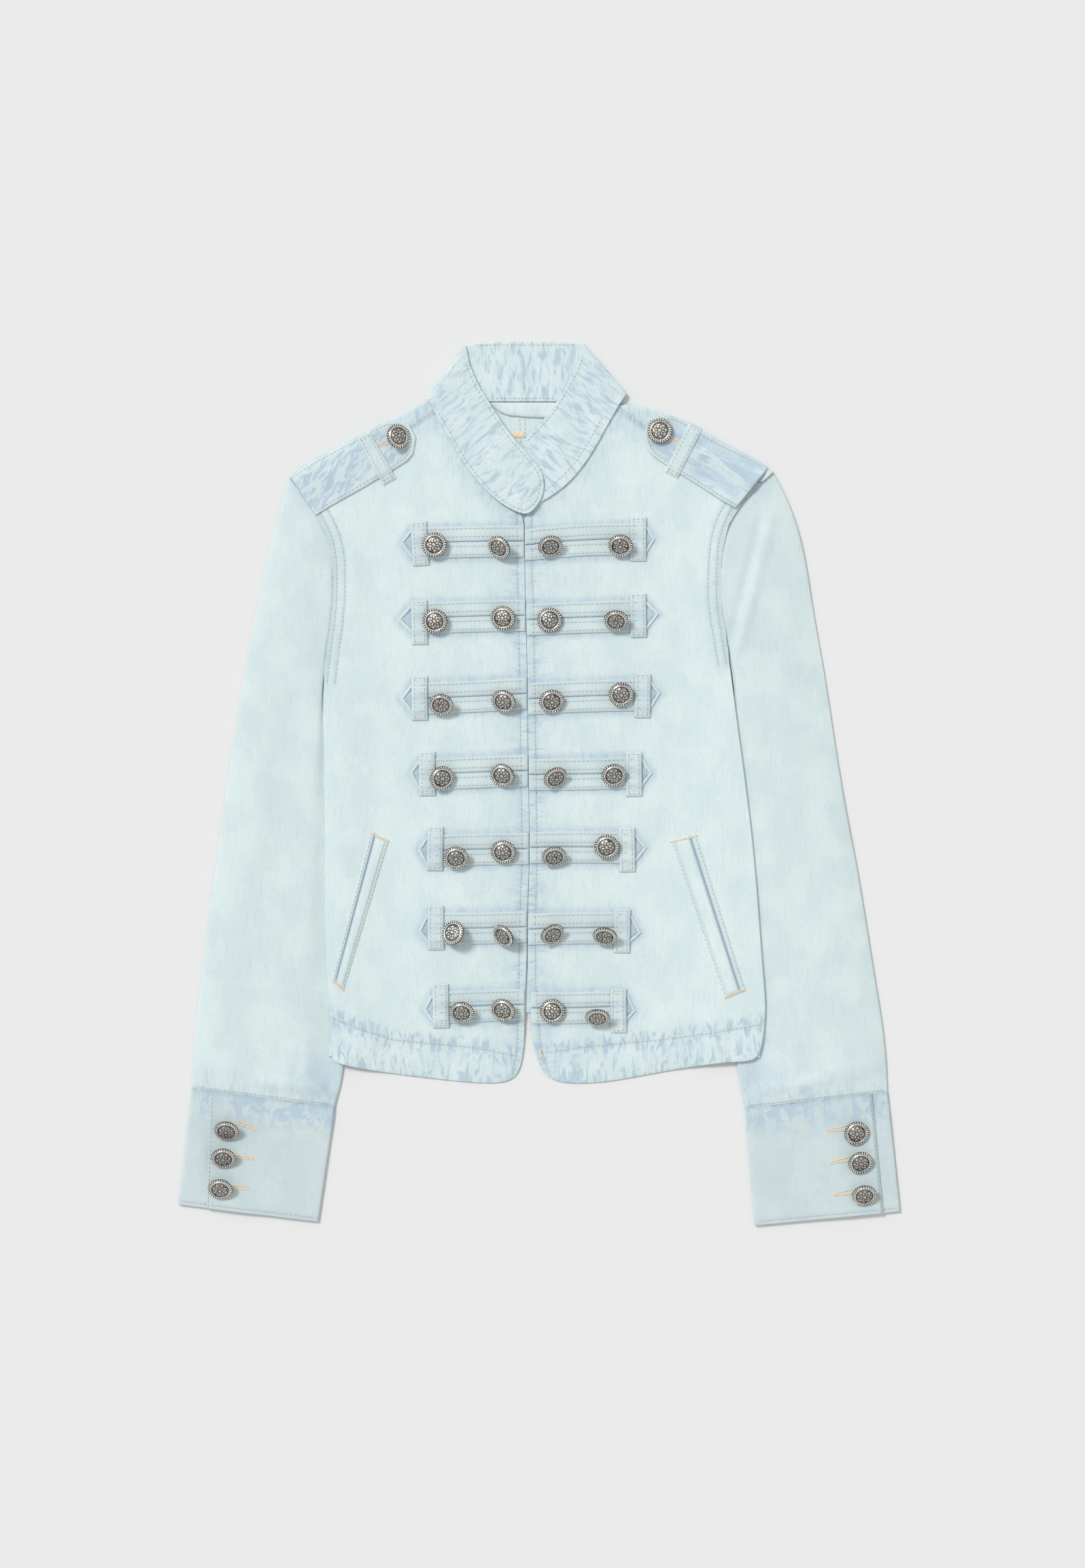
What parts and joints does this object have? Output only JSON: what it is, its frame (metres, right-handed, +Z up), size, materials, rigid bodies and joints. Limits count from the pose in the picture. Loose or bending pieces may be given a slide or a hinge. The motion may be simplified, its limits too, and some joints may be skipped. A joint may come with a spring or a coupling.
{
  "type": "military blazer",
  "caption": "Denim military blazer laid flat: stand collar, epaulettes, tape frogs with domed buttons, slanted pocket welts and buttoned cuffs.",
  "frame": {"origin": "on the surface that the blazer lies on, under the middle of its bounding box", "axes": "+X to the right as seen from above, +Y from the hem to the collar, +Z up from the surface"},
  "size_m": [0.584, 0.7142, 0.0215],
  "materials": {
    "denim": "pale washed denim twill, matt",
    "trim": "pale washed denim tape, matt",
    "antique_silver": "cast antique silver, darkened in the hollows"
  },
  "bodies": {
    "root": {"back": "denim", "button_left_1_inner": "antique_silver", "button_left_1_outer": "antique_silver", "button_left_2_inner": "antique_silver", "button_left_2_outer": "antique_silver", "button_left_3_inner": "antique_silver", "button_left_3_outer": "antique_silver", "button_left_4_inner": "antique_silver", "button_left_4_outer": "antique_silver", "button_left_5_inner": "antique_silver", "button_left_5_outer": "antique_silver", "button_left_6_inner": "antique_silver", "button_left_6_outer": "antique_silver", "button_left_7_inner": "antique_silver", "button_left_7_outer": "antique_silver", "button_right_1_inner": "antique_silver", "button_right_1_outer": "antique_silver", "button_right_2_inner": "antique_silver", "button_right_2_outer": "antique_silver", "button_right_3_inner": "antique_silver", "button_right_3_outer": "antique_silver", "button_right_4_inner": "antique_silver", "button_right_4_outer": "antique_silver", "button_right_5_inner": "antique_silver", "button_right_5_outer": "antique_silver", "button_right_6_inner": "antique_silver", "button_right_6_outer": "antique_silver", "button_right_7_inner": "antique_silver", "button_right_7_outer": "antique_silver", "collar": "denim", "cuff_button_left_1": "antique_silver", "cuff_button_left_2": "antique_silver", "cuff_button_left_3": "antique_silver", "cuff_button_right_1": "antique_silver", "cuff_button_right_2": "antique_silver", "cuff_button_right_3": "antique_silver", "cuff_left": "denim", "cuff_right": "denim", "epaulette_left": "denim", "epaulette_right": "denim", "frog_left_1": "trim", "frog_left_2": "trim", "frog_left_3": "trim", "frog_left_4": "trim", "frog_left_5": "trim", "frog_left_6": "trim", "frog_left_7": "trim", "frog_right_1": "trim", "frog_right_2": "trim", "frog_right_3": "trim", "frog_right_4": "trim", "frog_right_5": "trim", "frog_right_6": "trim", "frog_right_7": "trim", "front_left": "denim", "front_right": "denim", "pocket_welt_left": "trim", "pocket_welt_right": "trim", "sleeve_left": "denim", "sleeve_right": "denim"}
  },
  "joints": []
}
